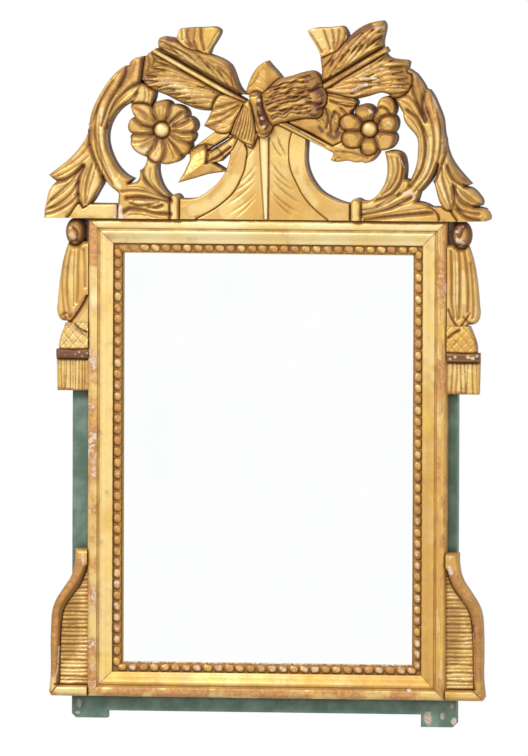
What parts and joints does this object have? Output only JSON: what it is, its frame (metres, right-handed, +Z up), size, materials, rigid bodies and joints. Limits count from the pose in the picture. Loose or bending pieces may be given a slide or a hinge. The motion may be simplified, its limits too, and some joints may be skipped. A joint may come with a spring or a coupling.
{
  "type": "wall mirror",
  "caption": "Giltwood wall mirror: pearl-edged moulded frame on a green back frame, pierced crest of crossed arrows, rosettes and acanthus scrolls, tasselled side drops, reeded brackets",
  "frame": {"origin": "the point on the wall plane where the ring's hook carries the mirror, in the middle of its width", "axes": "X right as seen from the room, Y into the wall, Z up; the glass faces -Y"},
  "size_m": [0.54, 0.051, 0.8482],
  "materials": {
    "gilt_wood": "worn water gilding over red bole",
    "plain_wood": "aged bare softwood",
    "green_paint": "old matt green paint",
    "mirror_glass": "silvered glass",
    "old_iron": "dark forged iron"
  },
  "bodies": {
    "mirror": {"acanthus_left": "gilt_wood", "acanthus_right": "gilt_wood", "arrow_one": "gilt_wood", "arrow_two": "gilt_wood", "back_board_lower": "plain_wood", "back_board_upper": "plain_wood", "back_nails": "old_iron", "band_left": "gilt_wood", "band_right": "gilt_wood", "base_blocks": "gilt_wood", "binding": "gilt_wood", "bracket_border_left": "gilt_wood", "bracket_border_right": "gilt_wood", "bracket_panel_left": "gilt_wood", "bracket_panel_right": "gilt_wood", "chassis_bottom_rail": "green_paint", "chassis_pegs": "plain_wood", "chassis_stile_left": "green_paint", "chassis_stile_right": "green_paint", "chassis_top_rail": "green_paint", "cloth_fold": "gilt_wood", "corner_leaves_left": "gilt_wood", "corner_leaves_right": "gilt_wood", "crest_batten": "plain_wood", "crest_board_centre": "plain_wood", "crest_board_left": "plain_wood", "crest_board_right": "plain_wood", "crest_screws": "old_iron", "drop_drape_left": "gilt_wood", "drop_drape_right": "gilt_wood", "drop_fringe_left": "gilt_wood", "drop_fringe_right": "gilt_wood", "drop_tassel_left": "gilt_wood", "drop_tassel_right": "gilt_wood", "fletching_left": "gilt_wood", "fletching_right": "gilt_wood", "glazing_blocks": "plain_wood", "hanger_screws": "old_iron", "hanger_strap": "old_iron", "leaf_sprig": "gilt_wood", "mirror_glass": "mirror_glass", "moulding_bottom": "gilt_wood", "moulding_left": "gilt_wood", "moulding_right": "gilt_wood", "moulding_top": "gilt_wood", "peak": "gilt_wood", "pearls_bottom": "gilt_wood", "pearls_left": "gilt_wood", "pearls_right": "gilt_wood", "pearls_top": "gilt_wood", "pedestal": "gilt_wood", "ribbon_left": "gilt_wood", "ribbon_right": "gilt_wood", "rosette_left": "gilt_wood", "rosette_right": "gilt_wood", "scroll_left": "gilt_wood", "scroll_right": "gilt_wood", "sheaf": "gilt_wood", "tassel_end": "gilt_wood"},
    "ring": {"hanger_ring": "old_iron"}
  },
  "joints": [
    {"name": "ring_swing", "type": "hinge", "parent": "mirror", "child": "ring", "pos_m": [0, -0.0042, 0], "axis": [1, 0, 0], "range_deg": [0, 175]}
  ]
}
